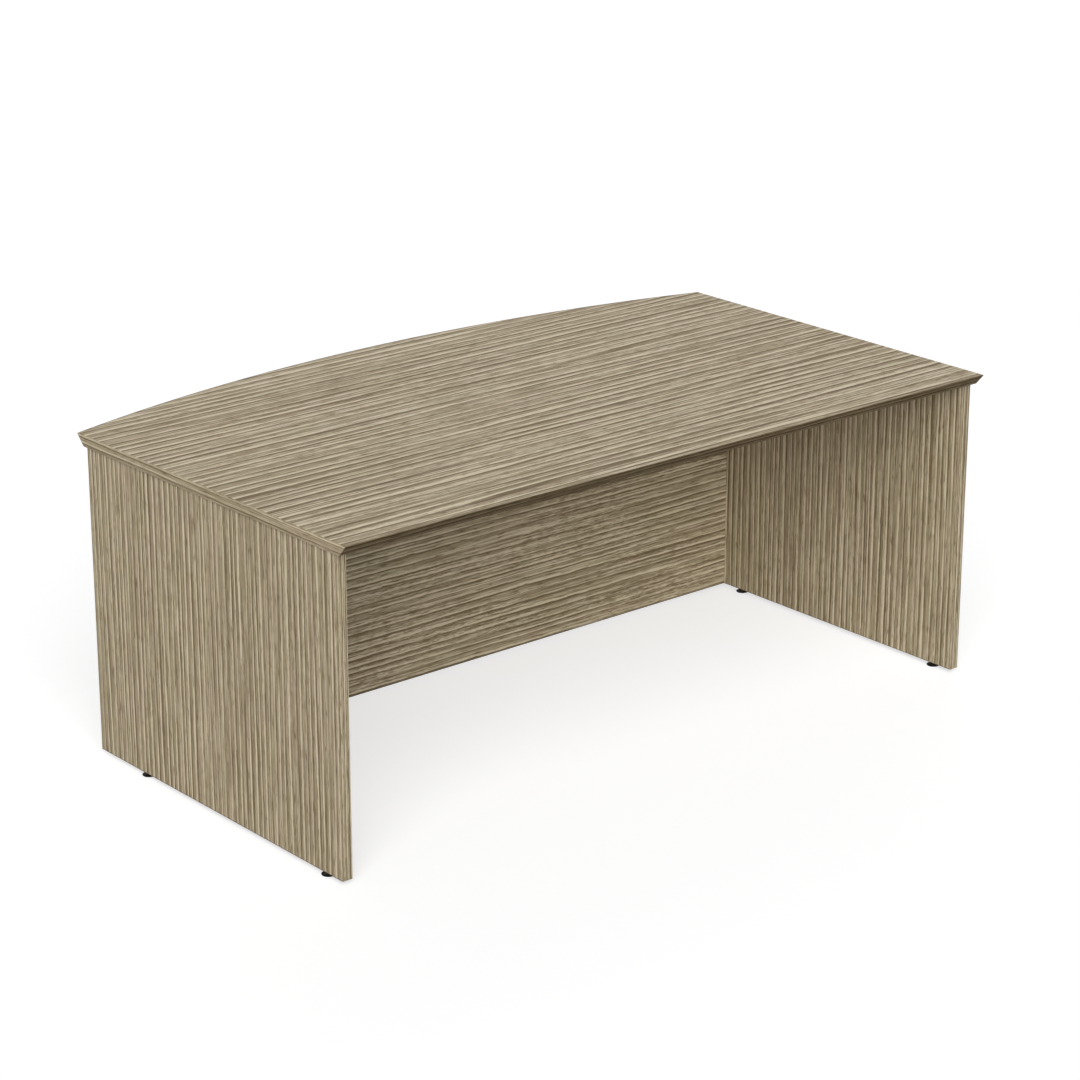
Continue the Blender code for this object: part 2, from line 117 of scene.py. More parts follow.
# %% [markdown]
# ## Building node trees with less typing
# A procedural finish is a tree of small nodes. Written out in full, each node takes three or four
# lines, so a little wrapper adds a node, sets its fields and its unlinked sockets, and links the
# rest. A node group gets its sockets from interface.new_socket, as Blender 4.5 asks.


# %% A wrapper for node trees
class Tree:
    """Adds nodes to one node tree, and gives back the output socket that is wanted next."""

    def __init__(self, tree):
        self.tree = tree
        self.column = 0

    def feed(self, node, inputs):
        """Links a node's sockets to the outputs that are given, and stores plain values."""
        for name, value in inputs.items():
            if isinstance(value, bpy.types.NodeSocket):
                self.tree.links.new(value, node.inputs[name])
            else:
                node.inputs[name].default_value = value

    def add(self, kind, inputs=None, output=0, **fields):
        node = self.tree.nodes.new(kind)
        node.location = (self.column * 180, -200 * (self.column % 5))
        self.column += 1
        for name, value in fields.items():
            setattr(node, name, value)
        self.feed(node, inputs or {})
        return node.outputs[output]

    def math(self, operation, first, second=0.0, third=0.0, clamp=False):
        return self.add("ShaderNodeMath", {0: first, 1: second, 2: third},
                        operation=operation, use_clamp=clamp)

    def vector(self, operation, first, second):
        return self.add("ShaderNodeVectorMath", {0: first, 1: second}, operation=operation)

    def noise(self, place, scales, detail=2.0, distortion=0.0, roughness=0.5):
        """Noise that is stretched by its own scale along each axis, from 0 to 1."""
        stretched = self.vector("MULTIPLY", place, scales)
        return self.add("ShaderNodeTexNoise",
                        {"Vector": stretched, "Scale": 1.0, "Detail": detail,
                         "Distortion": distortion, "Roughness": roughness})

    def wander(self, place, scales, **shape):
        """The same noise, centred on zero."""
        return self.math("SUBTRACT", self.noise(place, scales, **shape), 0.5)

    def cells(self, place, scales):
        stretched = self.vector("MULTIPLY", place, scales)
        return self.add("ShaderNodeTexVoronoi", {"Vector": stretched, "Scale": 1.0}).node.outputs

    def remap(self, value, low, high, to_low=0.0, to_high=1.0, smooth=True):
        return self.add("ShaderNodeMapRange",
                        {"Value": value, "From Min": low, "From Max": high,
                         "To Min": to_low, "To Max": to_high},
                        interpolation_type="SMOOTHSTEP" if smooth else "LINEAR")

    def ramp(self, value, stops):
        made = self.add("ShaderNodeValToRGB", {"Fac": value})
        elements = made.node.color_ramp.elements
        while len(elements) < len(stops):
            elements.new(0.5)
        for element, (place, colour) in zip(elements, stops):
            element.position = place
            element.color = colour if hasattr(colour, "__len__") else (colour,) * 3 + (1.0,)
        return made

    def mix(self, share, first, second, blend="MIX"):
        return self.add("ShaderNodeMix", {0: share, 6: first, 7: second}, output=2,
                        data_type="RGBA", blend_type=blend)

    def mix_values(self, share, first, second):
        return self.add("ShaderNodeMix", {0: share, 2: first, 3: second}, data_type="FLOAT")

    def facing(self, direction):
        """How squarely the surface faces along a direction or against it, from 0 to 1."""
        normal = self.add("ShaderNodeTexCoord", output="Normal")
        return self.math("ABSOLUTE", self.add("ShaderNodeVectorMath", {0: normal, 1: direction},
                                              output="Value", operation="DOT_PRODUCT"))

    def bump(self, height, depth):
        return self.add("ShaderNodeBump", {"Height": height, "Distance": depth, "Strength": 1.0})

    def group(self, made, inputs):
        return self.add("ShaderNodeGroup", inputs, node_tree=made).node.outputs


def new_group(name, inputs, outputs):
    """Starts a node group. Inputs are (name, kind, default), and outputs (name, kind)."""
    group = bpy.data.node_groups.new(name, "ShaderNodeTree")
    for label, kind, default in inputs:
        socket = group.interface.new_socket(label, in_out="INPUT", socket_type="NodeSocket" + kind)
        if default is not None:
            socket.default_value = default
    for label, kind in outputs:
        group.interface.new_socket(label, in_out="OUTPUT", socket_type="NodeSocket" + kind)
    given, wanted = group.nodes.new("NodeGroupInput"), group.nodes.new("NodeGroupOutput")
    return group, Tree(group), given.outputs, wanted


# %% [markdown]
# ## The driftwood grain
# The laminate is a printed and pressed sheet. Its print shows long, nearly straight lines, each
# with a pale crest beside a dark groove, over a field that drifts between olive and rosy grey.
# The press follows the print, so the crests stand up a little and the grooves lie lower.
# A plain wave texture would be too regular. So the pattern counts lines across the grain, bends
# and crowds them with slow noise, and lets each line fade in and out on its own. It works in
# grain space, where X runs along the grain and Y across it, so one group serves every board,
# turned by a Mapping node.

# %% The grain group
grain_group, g, grain_in, grain_out = new_group(
    "driftwood_grain",
    [("Vector", "Vector", None), ("Line Spacing", "Float", 17 * MM), ("Waviness", "Float", 2 * MM),
     ("Flecks", "Float", 0.5), ("Contrast", "Float", 1.0), ("Tint", "Float", 0.8)],
    [("Color", "Color"), ("Height", "Float"), ("Roughness", "Float")])

place = grain_in["Vector"]
axes = g.add("ShaderNodeSeparateXYZ", {0: place}).node.outputs
along, across = axes[0], axes[1]

slow_bend = g.wander(place, (1.3, 7, 7))
quick_bend = g.wander(place, (17, 60, 30), detail=3.0)
bend = g.math("MULTIPLY_ADD", quick_bend, 1.7, g.math("MULTIPLY", slow_bend, 4.0))
bent_across = g.math("MULTIPLY_ADD", bend, grain_in["Waviness"], across)

PROFILE_MAIN = [(0.0, 1.0), (0.14, 0.9), (0.30, 0.52), (0.60, 0.46), (0.78, 0.14), (0.93, 0.02),
                (1.0, 1.0)]
PROFILE_FINE = [(0.0, 0.85), (0.2, 0.8), (0.45, 0.5), (0.72, 0.15), (0.88, 0.15), (1.0, 0.85)]
FINE_SHARE = 0.46


def grain_lines(spacing, crowding, seed, profile, fade_seed, faintest):
    """Counts lines across the grain, gives each its profile, and lets it fade along its length."""
    crowd = g.wander(g.vector("ADD", place, (seed, seed, 0)), (0.7, 22, 5), detail=1.0)
    counted = g.math("MULTIPLY_ADD", crowd, crowding, g.math("DIVIDE", bent_across, spacing))
    line = g.math("SUBTRACT", g.ramp(g.math("FRACT", counted), profile), 0.5)
    number = g.math("FLOOR", counted)
    at = g.add("ShaderNodeCombineXYZ", {0: g.math("MULTIPLY", along, 2.6),
                                        1: g.math("MULTIPLY_ADD", number, 5.37, fade_seed)})
    fade = g.add("ShaderNodeTexNoise", {"Vector": at, "Scale": 1.0, "Detail": 1.0})
    return g.math("MULTIPLY", line, g.remap(fade, 0.36, 0.62, faintest, 1.0))


main_line = grain_lines(grain_in["Line Spacing"], 1.5, 0.0, PROFILE_MAIN, 3.1, 0.34)
fine_line = grain_lines(g.math("MULTIPLY", grain_in["Line Spacing"], FINE_SHARE), 3.0, 4.7,
                        PROFILE_FINE, 8.3, 0.0)

fibre = g.wander(place, (28, 950, 300), detail=3.0)
streak = g.wander(place, (9, 170, 60), detail=3.0)
fleck = g.wander(place, (55, 420, 150), detail=3.0, distortion=0.5)
fleck_patch = g.remap(g.noise(place, (3.2, 16, 9)), 0.44, 0.60)
fleck = g.math("MULTIPLY", g.math("MULTIPLY", fleck, fleck_patch), grain_in["Flecks"])
stroke_place = g.add("ShaderNodeCombineXYZ", {0: along, 1: bent_across})
stroke = g.remap(g.noise(stroke_place, (26, 330, 1), detail=2.0), 0.55, 0.72)
broad = g.wander(place, (1.1, 9, 6), detail=1.0)

relief = g.math("MULTIPLY", main_line, 0.92)
for layer, weight in ((fine_line, 0.42), (fleck, 1.1), (streak, 0.7), (stroke, -0.42)):
    relief = g.math("MULTIPLY_ADD", layer, weight, relief)
tone = g.math("MULTIPLY_ADD", broad, 0.18, g.math("ADD", relief, 0.035))
tone = g.math("MULTIPLY_ADD", fibre, 0.4, tone)
tone = g.math("MULTIPLY_ADD", tone, grain_in["Contrast"], 0.5, clamp=True)

field = g.ramp(tone, [(0.0, GRAIN_DARK), (0.5, GRAIN_MIDDLE), (1.0, GRAIN_CREAM)])
drift = g.noise(place, (4.5, 62, 25), detail=2.0)
tint = g.mix(g.remap(drift, 0.4, 0.6), OLIVE_TINT, ROSY_TINT)
tint = g.vector("DIVIDE", tint, GRAIN_MIDDLE[:3])
coloured = g.mix(grain_in["Tint"], field, tint, blend="MULTIPLY")

pore_noise = g.noise(place, (75, 1900, 600), detail=1.0)
pores = g.math("MULTIPLY", g.remap(pore_noise, 0.62, 0.72), 0.35)
coloured = g.mix(pores, coloured, GRAIN_DARK)

height = g.math("MULTIPLY_ADD", fibre, 0.16, relief)
height = g.math("SUBTRACT", height, g.math("MULTIPLY", pores, 0.4))
g.feed(grain_out, {"Color": coloured, "Height": g.math("ADD", height, 0.5),
                   "Roughness": g.remap(tone, 0.0, 1.0, 0.60, 0.44)})
print("nodes in the grain group:", len(grain_group.nodes))


# %% [markdown]
# ## Particle board inside
# The laminate covers only the two faces of a board. Where no band covers an edge, and inside the
# bored holes, the raw board shows: flat chips of wood, pressed together, in many tones of straw.
# Voronoi cells look like chips. The group is mixed in where the surface turns away from the
# board's face.

# %% The chip group
chip_group, c, chip_in, chip_out = new_group(
    "particle_board", [("Vector", "Vector", None)], [("Color", "Color"), ("Height", "Float")])
chips = c.cells(chip_in["Vector"], (260, 260, 520))
chip_tone = c.add("ShaderNodeSeparateColor", {0: chips["Color"]})
dust = c.noise(chip_in["Vector"], (900, 900, 900), detail=3.0)
chip_value = c.math("MULTIPLY_ADD", dust, 0.4, c.math("MULTIPLY", chip_tone, 0.7), clamp=True)
STRAW = [(0.0, linear(120, 92, 58)), (0.5, linear(172, 140, 98)), (1.0, linear(214, 188, 146))]
c.feed(chip_out, {"Color": c.ramp(chip_value, STRAW),
                  "Height": c.math("MULTIPLY_ADD", dust, 0.5, chips["Distance"])})
print("nodes in the chip group:", len(chip_group.nodes))


# %% [markdown]
# ## One laminate, turned to suit each board
# The print is the same everywhere, but the sheets are cut in different directions: along the
# width on the worktop and the modesty panel, upright on the end panels, and along the edge on
# the bands. Grain space is a turn of the object's own coordinates, so a Mapping node with the
# right angles does it. The matrix below has the grain, across and through directions as its rows,
# and its Euler angles are what the Mapping node wants.

# %% Make a laminate material
EDGE_FACING = 0.6
CHIP_ROUGHNESS = 0.9
RUB_POLISH = 0.2
PRINT_RELIEF = 0.09 * MM


def grain_turn(grain, across_grain):
    grain, across_grain = Vector(grain), Vector(across_grain)
    return Matrix((grain, across_grain, grain.cross(across_grain))).to_euler("XYZ")


def start_material(name):
    material = bpy.data.materials.new(name)
    material.use_nodes = True
    tree = Tree(material.node_tree)
    shader = material.node_tree.nodes["Principled BSDF"]
    return material, tree, shader, tree.add("ShaderNodeTexCoord", output="Object")


def rub_mask(tree, place):
    """Where hands and cloths have polished a piece: its rub attribute, broken up by noise."""
    rub = tree.add("ShaderNodeAttribute", output="Fac", attribute_name="rub")
    broken = tree.remap(tree.noise(place, (70, 70, 70), detail=4.0), 0.35, 0.65, 0.35, 1.0)
    return tree.math("MULTIPLY", rub, broken)


def laminate_material(name, grain, across_grain, spacing, shift=(0, 0, 0), waviness=2 * MM,
                      flecks=0.5, contrast=1.38, tint=0.8, painted_shade=(1, 1, 1), wear=0.32, sheen=0.3,
                      board_face=None):
    """The driftwood sheet. On a cored board, board_face is the direction of its broad faces. On a
    band, the rub attribute says where its arris is worn, and wear says by how much."""
    material, tree, shader, place = start_material(name)
    turned = tree.add("ShaderNodeMapping", {"Vector": place, "Location": shift,
                                            "Rotation": grain_turn(grain, across_grain)})
    sheet = tree.group(grain_group, {"Vector": turned, "Line Spacing": spacing,
                                     "Waviness": waviness, "Flecks": flecks,
                                     "Contrast": contrast, "Tint": tint})
    colour, rough, height = sheet["Color"], sheet["Roughness"], sheet["Height"]
    if board_face:
        chip = tree.group(chip_group, {"Vector": place})
        raw = tree.math("LESS_THAN", tree.facing(board_face), EDGE_FACING)
        colour = tree.mix(raw, colour, chip["Color"])
        rough = tree.math("MAXIMUM", rough, tree.math("MULTIPLY", raw, CHIP_ROUGHNESS))
        height = tree.mix_values(raw, height, chip["Height"])
    else:
        rubbed = tree.math("MULTIPLY", rub_mask(tree, place), wear)
        # A band's colour is multiplied here by its painted shade, which is white where there is
        # none.
        colour = tree.mix(rubbed, tree.vector("MULTIPLY", colour, painted_shade), GRAIN_CREAM)
        rough = tree.math("MULTIPLY_ADD", rubbed, -RUB_POLISH, rough)
    tree.feed(shader, {"Base Color": colour, "Roughness": rough, "Specular IOR Level": sheen,
                       "Normal": tree.bump(height, PRINT_RELIEF)})
    return material


def dress(node, material):
    """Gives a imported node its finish, in every material slot that it has."""
    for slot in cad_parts[node].material_slots:
        slot.material = material


# %% [markdown]
# ## The four boards
# On the real desk, the worktop's print is a little calmer than the modesty panel's, whose lines
# are the crispest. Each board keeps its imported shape, which is right already, and only gets its
# sheet. A different shift for every board means that no two show the same stretch of print.

# %% Dress the boards
dress("worktop_board",
      laminate_material("laminate_worktop", X, Y, 27 * MM, waviness=2.2 * MM, contrast=1.62,
                        tint=0.45, sheen=0.12, board_face=Z))
dress("modesty_panel",
      laminate_material("laminate_modesty", X, Z, 17.5 * MM, (3.1, 2.208, 0), waviness=3.2 * MM,
                        flecks=1.0, contrast=1.56, tint=0.35, board_face=Y))
for side, shift in (("left", (0.31, 0.43, 0)), ("right", (1.7, 1.13, 0))):
    dress("end_panel_" + side,
          laminate_material(f"laminate_{side}_panel", Z, Y, 18 * MM, shift, waviness=1.6 * MM,
                            board_face=X))

# %% [markdown]
# ## Four cuts of band
# Band comes off a roll, so its grain runs along the strip. The strips on the undercut bevels and
# under the boards face the floor and lie in shade, so their colours are darkened to a dark brown
# with painted shade. The upright strips on the panels' front and rear edges carry a little painted
# shade too, which makes them a little darker than the panels. The three strips underneath are thin
# and stay as they were packed. They share one finish, whose grain follows the two under the end
# panels.

# %% Dress the bands underneath
# This brown is painted shade: it darkens the bands that face the floor.
PAINTED_SHADE_BROWN = (0.345, 0.305, 0.255)
band_bevelled = laminate_material("band_bevelled", X, Z, 11 * MM, (0.9, 0.11, 0),
                                  painted_shade=PAINTED_SHADE_BROWN, wear=0.12, sheen=0.03)
band_beneath = laminate_material("band_beneath", Y, X, 11 * MM, (0.6, 0.07, 0),
                                 painted_shade=PAINTED_SHADE_BROWN)
band_along_depth = laminate_material("band_along_depth", Y, Z, 12 * MM, (0.4, 0.327, 0),
                                     contrast=1.0, wear=0.05)
# The upright strips get a light painted shade of 0.84.
band_upright = laminate_material("band_upright", Z, X, 11 * MM, (0.2, 0.31, 0), contrast=1.6,
                                 painted_shade=(0.84, 0.84, 0.84))
for board in ("end_panel_left", "end_panel_right", "modesty_panel"):
    dress(board + "_band_bottom", band_beneath)


# %% [markdown]
# ## Bands
# Every edge that shows is covered by a thin band, glued on and trimmed, with its arris rounded by
# a scraper to about a millimetre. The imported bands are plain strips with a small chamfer. Here
# they are made again with a true rounding, since that is what catches the light along an edge.
# A straight strip starts as a block that fills the node's box. The worktop's front edge leans
# back underneath, so its lower corners move in. The bowed band has a cell of its own.

# %% Helpers for a new piece
ARRIS_RADIUS = 0.9 * MM
ROUND_STEPS = 4
DOUBLES = 0.001 * MM
TOUCH = 0.1 * MM


def begin(rub=True):
    bm = bmesh.new()
    if rub:
        bm.verts.layers.float.new("rub")
    return bm


def everything(bm):
    return bm.verts[:] + bm.edges[:] + bm.faces[:]


def new_object(name, data):
    made = bpy.data.objects.new(name, data)
    bpy.context.scene.collection.objects.link(made)
    return made


def as_object(bm, name="carving"):
    mesh = bpy.data.meshes.new(name)
    bm.to_mesh(mesh)
    bm.free()
    return new_object(name, mesh)


def finish_piece(name, bm, material, body, stands_for, smooth_past=35):
    """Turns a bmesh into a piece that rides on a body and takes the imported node's place."""
    bmesh.ops.remove_doubles(bm, verts=bm.verts, dist=DOUBLES)
    bmesh.ops.recalc_face_normals(bm, faces=bm.faces)
    piece = as_object(bm, name)
    piece.data.materials.append(material)
    piece.data.shade_smooth()
    piece.data.set_sharp_from_angle(angle=math.radians(smooth_past))
    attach(piece, body)
    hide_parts(stands_for)


def block(low, high):
    """A plain block between two corners."""
    low, high = Vector(low), Vector(high)
    bm = begin()
    bmesh.ops.create_cube(bm, size=1.0)
    bmesh.ops.scale(bm, vec=high - low, verts=bm.verts)
    bmesh.ops.translate(bm, vec=(low + high) / 2, verts=bm.verts)
    return bm


def round_edges(bm, edges, affect="EDGES"):
    """Rounds edges, or the corners of a flat profile, and marks the rounding as rubbed."""
    corners = [[vert.co.copy() for vert in (item.verts if affect == "EDGES" else (item, item))]
               for item in edges]
    bmesh.ops.bevel(bm, geom=edges, offset=ARRIS_RADIUS, segments=ROUND_STEPS, profile=0.5,
                    affect=affect, material=-1, clamp_overlap=True)
    rub = bm.verts.layers.float["rub"]
    for vert in bm.verts:
        for start, end in corners:
            run = end - start
            share = (vert.co - start).dot(run) / run.length_squared if run.length else 0
            if (vert.co - start - run * share).length < 0.85 * ARRIS_RADIUS:
                vert[rub] = 1.0


def runs_along(edge, axis):
    run = edge.verts[1].co - edge.verts[0].co
    return abs(run.dot(axis)) > 0.9 * run.length


def edges_at(bm, test, axis=None):
    """The edges whose two ends both pass a test on their place, and that run along any axis."""
    found = [edge for edge in bm.edges if all(test(vert.co) for vert in edge.verts)]
    return [edge for edge in found if axis is None or runs_along(edge, axis)]


# %% [markdown]
# ## The front band
# The board's front edge is sawn at a slant, which makes the top look thinner, and the band
# follows the slant. Its place and lean come from the board: the side bands end in the same plane,
# and the board's corners say how far the lower arris is set back.

# %% The front band
front_low, front_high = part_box("worktop_band_front")
front_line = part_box("worktop_band_left")[0].y
board_corners = [corner.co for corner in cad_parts["worktop_board"].data.vertices]
upper_corners = [co for co in board_corners if co.z > top_high.z - TOUCH]
front_above = min(co.y for co in upper_corners)
front_under = min(co.y for co in board_corners if co.z < top_low.z + TOUCH)
UNDERCUT = front_under - front_above
band_across = front_high.y - UNDERCUT - front_line
glue_line = front_above - front_line - band_across
print("the worktop's edge leans back by, in mm:", round(UNDERCUT / MM, 1))

front_band = block(front_low, front_high)
for corner in front_band.verts:
    upper, outer = corner.co.z > front_low.z + TOUCH, corner.co.y < front_low.y + TOUCH
    corner.co.y = front_line + (0 if upper else UNDERCUT) + (0 if outer else band_across)


def on_front_bevel(co):
    return abs(co.y - front_line - UNDERCUT * (front_high.z - co.z) / TOP_THICK) < TOUCH


round_edges(front_band, edges_at(front_band, on_front_bevel, X))
finish_piece("front_edge_band", front_band, band_bevelled, "desk",
             "worktop_band_front")

# %% [markdown]
# ## The side bands
# The two sides are square to the top, and their bands are cut at both ends to follow the slant in
# front and the bow behind. The whole outline of the outer face is rounded, ends included.

# %% The side bands
for side, sign in (("left", -1), ("right", 1)):
    node = "worktop_band_" + side
    low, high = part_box(node)
    corners = [corner.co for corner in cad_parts[node].data.vertices]
    rear_under = max(co.y for co in corners if co.z < low.z + TOUCH)
    side_band = block(low, high)
    for corner in side_band.verts:
        if corner.co.z < low.z + TOUCH:
            corner.co.y = low.y + UNDERCUT if corner.co.y < 0 else rear_under
    outer_x = high.x if sign > 0 else low.x
    round_edges(side_band, edges_at(side_band, lambda co: abs(co.x - outer_x) < TOUCH))
    finish_piece("side_edge_band_" + side, side_band, band_along_depth, "desk", node)

# %% [markdown]
# ## The end panels' bands
# These run from the bottom band to the underside of the worktop, so only their long arrises show
# and only those are rounded.

# %% The end panels' bands
for side in ("left", "right"):
    for place in ("front", "rear"):
        node = f"end_panel_{side}_band_{place}"
        low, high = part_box(node)
        open_y = low.y if place == "front" else high.y
        strip = block(low, high)
        round_edges(strip, edges_at(strip, lambda co: abs(co.y - open_y) < TOUCH, Z))
        finish_piece(f"panel_edge_band_{side}_{place}", strip, band_upright, "desk",
                     node)
print("straight bands made, arrises rounded to", ARRIS_RADIUS / MM, "mm")

# %% [markdown]
# ## The bowed band
# A long bow and a slant make this the hardest strip to draw, and the easiest to spin.
# The rise of the board's rear edge over half its length gives the bow's radius. The strip's
# section is drawn once, its two outer corners are rounded as a flat profile, and it sweeps about
# the bow's centre a little further than needed before two upright cuts trim it.

# %% The bowed band
half_length = top_high.x
board_rear = max(co.y for co in upper_corners)
board_end = max(co.y for co in upper_corners if co.x > half_length - TOUCH)
rise = board_rear - board_end
board_radius = (rise ** 2 + half_length ** 2) / (2 * rise)
bow_centre = Vector((0, board_rear - board_radius, 0))
BOW_RADIUS = board_radius + glue_line + band_across
print("radius of the bow in m:", round(BOW_RADIUS, 4))

bowed = begin()
bmesh.ops.create_grid(bowed, x_segments=1, y_segments=1, size=0.5)
bow_outer = []
for corner in bowed.verts:
    outer, upper = corner.co.x > 0, corner.co.y > 0
    reach = BOW_RADIUS - (0 if outer else band_across) - (0 if upper else UNDERCUT)
    corner.co = (0, bow_centre.y + reach, top_high.z if upper else top_low.z)
    if outer:
        bow_outer.append(corner)
round_edges(bowed, bow_outer, affect="VERTICES")
BOW_STEPS = 120
OVERSWEEP = 1.03
sweep = 2 * OVERSWEEP * math.asin(half_length / BOW_RADIUS)
bmesh.ops.rotate(bowed, cent=bow_centre, matrix=Matrix.Rotation(-sweep / 2, 3, "Z"),
                 verts=bowed.verts)
bmesh.ops.spin(bowed, geom=everything(bowed), cent=bow_centre, axis=Z, angle=sweep,
               steps=BOW_STEPS)
for sign in (-1, 1):
    trimmed = bmesh.ops.bisect_plane(bowed, geom=everything(bowed), plane_no=X * sign,
                                     plane_co=X * sign * half_length, clear_outer=True)
    rim = [item for item in trimmed["geom_cut"] if isinstance(item, bmesh.types.BMEdge)]
    bmesh.ops.holes_fill(bowed, edges=rim, sides=0)
finish_piece("bow_edge_band", bowed, band_bevelled, "desk", "worktop_band_rear",
             smooth_past=20)

# %% [markdown]
# ## Metals
# Zinc fittings are die-cast: a mottled grey with small pits. Bolts, studs and inserts are
# zinc-plated steel, brighter where a thread's crest has been rubbed.

# %% Metal finishes
PIT_GREY = linear(70, 70, 72)


def metal_finish(name, dull, bright, mottle, rough_low, rough_high, depth, pits=0.0):
    material, tree, shader, place = start_material(name)
    cloud = tree.remap(tree.noise(place, (mottle,) * 3, detail=3.0), 0.3, 0.7, 0.0, 0.6)
    scratch = tree.noise(place, (mottle * 9, mottle * 9, mottle * 1.5), detail=2.0)
    mixed = tree.math("MULTIPLY_ADD", rub_mask(tree, place), 0.8, cloud, clamp=True)
    pit_cells = tree.cells(place, (1400, 1400, 1400))["Distance"]
    pit = tree.math("MULTIPLY", tree.remap(pit_cells, 0.22, 0.08), pits)
    rough = tree.remap(scratch, 0.3, 0.7, rough_low, rough_high)
    tree.feed(shader, {"Base Color": tree.mix(pit, tree.mix(mixed, dull, bright), PIT_GREY),
                       "Roughness": tree.math("MULTIPLY_ADD", pit, 0.2, rough), "Metallic": 1.0,
                       "Normal": tree.bump(tree.math("SUBTRACT", scratch, pit), depth)})
    return material


zinc_finish = metal_finish("cast_zinc", linear(150, 151, 154), linear(200, 201, 203), 220,
                           0.34, 0.5, 0.04 * MM, pits=0.6)
steel_finish = metal_finish("zinc_plated_steel", linear(164, 166, 170), linear(226, 227, 228),
                            160, 0.2, 0.38, 0.015 * MM)

# %% [markdown]
# ## Moulded plastics
# The feet are black nylon, and the caps a plain greige that suits the board, since no print can be
# pressed onto them. A mould with a sparked surface leaves a fine, even texture, while the flow of
# the melt varies the sheen slowly. Dust settles only where a surface looks up, so the mask reads
# the normal.

# %% Moulded plastics
PLASTIC_SHEEN = 0.3
DUST_SHARE = 0.3


def moulded_finish(name, body, dusty, rough_low, rough_high, depth):
    material, tree, shader, place = start_material(name)
    texture = tree.noise(place, (2600, 2600, 2600), detail=2.0)
    flow = tree.noise(place, (55, 55, 120), detail=3.0)
    normal = tree.add("ShaderNodeTexCoord", output="Normal")
    looking_up = tree.add("ShaderNodeSeparateXYZ", {0: normal}, output=2)
    settled = tree.math("MULTIPLY", tree.remap(looking_up, 0.1, 0.9), tree.remap(flow, 0.35, 0.7))
    dust = tree.math("MULTIPLY", settled, DUST_SHARE)
    dust = tree.math("MULTIPLY_ADD", rub_mask(tree, place), 0.25, dust, clamp=True)
    varied = tree.mix(tree.remap(flow, 0.3, 0.7, 0.0, 0.12), body, dusty)
    rough = tree.remap(flow, 0.3, 0.7, rough_low, rough_high)
    tree.feed(shader, {"Base Color": tree.mix(dust, varied, dusty),
                       "Roughness": tree.math("MULTIPLY_ADD", dust, 0.25, rough),
                       "Specular IOR Level": PLASTIC_SHEEN,
                       "Normal": tree.bump(texture, depth)})
    return material


nylon_finish = moulded_finish("black_nylon", linear(12, 11, 10), linear(74, 70, 65), 0.42, 0.6,
                              0.03 * MM)
cap_finish = moulded_finish("greige_cap", linear(152, 139, 113), linear(172, 160, 135), 0.42,
                            0.52, 0.02 * MM)

# %% [markdown]
# ## Beech dowels
# Beech is pale and pinkish, with short dark dashes of ray fleck along its grain. A dowel is cut
# from a fluted rod, so the flutes run along it and the chamfered ends show end grain.

# %% Beech finish
BEECH_DARK, BEECH_PALE = linear(188, 147, 104), linear(226, 192, 148)
BEECH_DASH, BEECH_END = linear(140, 98, 62), linear(158, 116, 76)
BEECH_RUBBED = linear(232, 204, 164)


def beech_finish(name, along_axis, across_axis):
    material, tree, shader, place = start_material(name)
    turned = tree.add("ShaderNodeMapping", {"Vector": place,
                                            "Rotation": grain_turn(along_axis, across_axis)})
    fibre = tree.noise(turned, (60, 1500, 1500), detail=3.0)
    rings = tree.noise(turned, (8, 420, 420), detail=2.0)
    dash = tree.remap(tree.noise(turned, (330, 2600, 2600), detail=1.0), 0.6, 0.68)
    tone = tree.math("MULTIPLY_ADD", fibre, 0.45, tree.math("MULTIPLY", rings, 0.55))
    end_grain = tree.remap(tree.facing(along_axis), 0.5, 0.8, 0.0, 0.55)
    wood = tree.ramp(tone, [(0.25, BEECH_DARK), (0.75, BEECH_PALE)])
    wood = tree.mix(tree.math("MULTIPLY", dash, 0.5), wood, BEECH_DASH)
    wood = tree.mix(end_grain, wood, BEECH_END)
    wood = tree.mix(tree.math("MULTIPLY", rub_mask(tree, place), 0.4), wood, BEECH_RUBBED)
    tree.feed(shader, {"Base Color": wood, "Roughness": tree.remap(tone, 0.2, 0.8, 0.8, 0.62),
                       "Specular IOR Level": 0.3,
                       "Normal": tree.bump(tree.math("SUBTRACT", tone, dash), 0.08 * MM)})
    return material


beech_upright = beech_finish("beech_upright", Z, X)
beech_level = beech_finish("beech_level", X, Y)

# %% [markdown]
# ## Turned pieces
# Feet, bolts, cams, caps and dowels all start on a lathe, and spinning a profile about its axis is
# the same idea. Each piece is made standing on its own Z axis and is then moved to its place in
# the desk, so its object can stay at the origin.

# %% Helpers for turned pieces
TURN_STEPS = 64


def mm(*points):
    """Points of (radius, height) that are written in millimetres."""
    return [(radius * MM, height * MM) for radius, height in points]


def spun(profile, steps=TURN_STEPS):
    """Spins a profile of (radius, height) points about Z. It starts and ends on the axis."""
    bm = begin()
    points = [bm.verts.new((radius, 0, height)) for radius, height in profile]
    edges = [bm.edges.new(pair) for pair in zip(points, points[1:])]
    bmesh.ops.spin(bm, geom=points + edges, cent=(0, 0, 0), axis=Z, angle=2 * math.pi,
                   steps=steps, use_merge=True)
    bmesh.ops.remove_doubles(bm, verts=bm.verts, dist=DOUBLES)
    return bm


def plug(radius, low, high, sides=TURN_STEPS):
    """A cylinder or a prism about Z, as a cutter."""
    return spun([(0, low), (radius, low), (radius, high), (0, high)], sides)


def arc(centre, radius, start_deg, end_deg, steps):
    """Points along an arc, for use in a profile."""
    angles = [math.radians(start_deg + (end_deg - start_deg) * step / steps)
              for step in range(steps + 1)]
    return [(centre[0] + radius * math.cos(a), centre[1] + radius * math.sin(a)) for a in angles]


def radius_of(vert):
    return math.hypot(vert.co.x, vert.co.y)


def set_radius(vert, radius):
    scale = radius / radius_of(vert)
    vert.co.x *= scale
    vert.co.y *= scale


def mark_rubbed(bm, test):
    rub = bm.verts.layers.float["rub"]
    for vert in bm.verts:
        if test(vert):
            vert[rub] = 1.0


